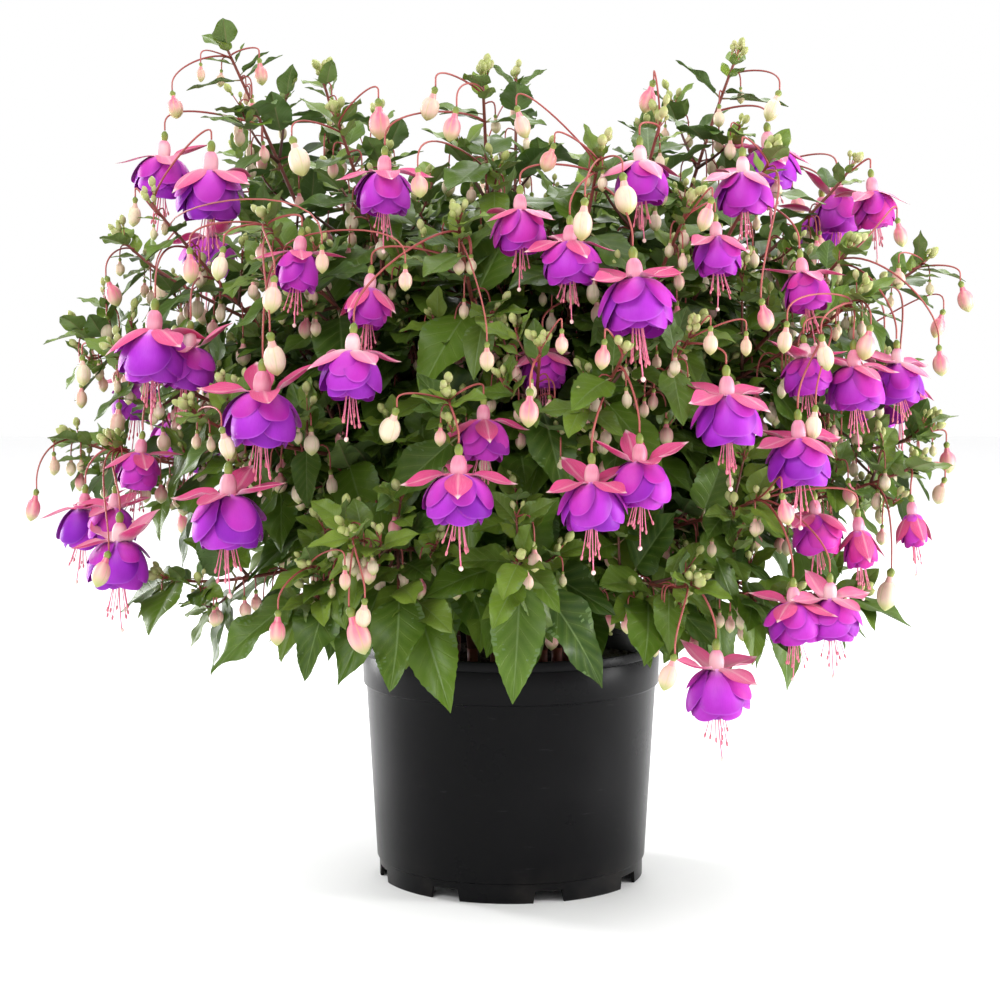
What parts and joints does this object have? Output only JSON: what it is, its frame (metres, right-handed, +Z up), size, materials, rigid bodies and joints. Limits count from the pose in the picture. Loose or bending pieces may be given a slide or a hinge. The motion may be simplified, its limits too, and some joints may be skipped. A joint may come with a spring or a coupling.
{
  "type": "potted fuchsia plant",
  "caption": "Bushy potted fuchsia in full bloom: pink sepals, double violet corollas and hanging buds over dark green leaves, in a black round nursery pot that stands on its foot.",
  "frame": {"origin": "on the ground, at the centre of the pot's foot ring", "axes": "+Z up along the pot's axis, -Y to the front of the plant, +X to the right seen from the front"},
  "size_m": [0.5785, 0.5339, 0.5369],
  "materials": {
    "pot_plastic": "satin",
    "potting_soil": "rough crumbs",
    "foliage": "satin leaf",
    "flower": "soft petal"
  },
  "bodies": {
    "root": {"pot": "pot_plastic", "soil": "potting_soil", "limb_01": "foliage", "limb_02": "foliage", "limb_03": "foliage", "limb_04": "foliage", "limb_05": "foliage", "limb_06": "foliage", "limb_07": "foliage", "limb_08": "foliage", "limb_09": "foliage", "limb_10": "foliage", "limb_11": "foliage", "limb_12": "foliage", "limb_13": "foliage", "limb_14": "foliage", "bloom_01": "flower", "bloom_02": "flower", "bloom_03": "flower", "bloom_04": "flower", "bloom_05": "flower", "bloom_06": "flower", "bloom_07": "flower", "bloom_08": "flower", "bloom_09": "flower", "bloom_10": "flower", "bloom_11": "flower", "bloom_12": "flower", "bloom_13": "flower", "bloom_14": "flower", "bloom_15": "flower", "bloom_16": "flower", "bloom_17": "flower", "bloom_18": "flower", "bloom_19": "flower", "bloom_20": "flower", "bloom_21": "flower", "bloom_22": "flower", "bloom_23": "flower", "bloom_24": "flower", "bloom_25": "flower", "bloom_26": "flower", "bloom_27": "flower", "bloom_28": "flower", "bloom_29": "flower", "bloom_30": "flower", "bloom_31": "flower", "bloom_32": "flower", "bloom_33": "flower", "bloom_34": "flower", "bloom_35": "flower", "bloom_36": "flower", "bloom_37": "flower", "bloom_38": "flower", "bloom_39": "flower", "bloom_40": "flower", "bloom_41": "flower", "bloom_42": "flower", "bloom_43": "flower", "bloom_44": "flower"}
  },
  "joints": []
}
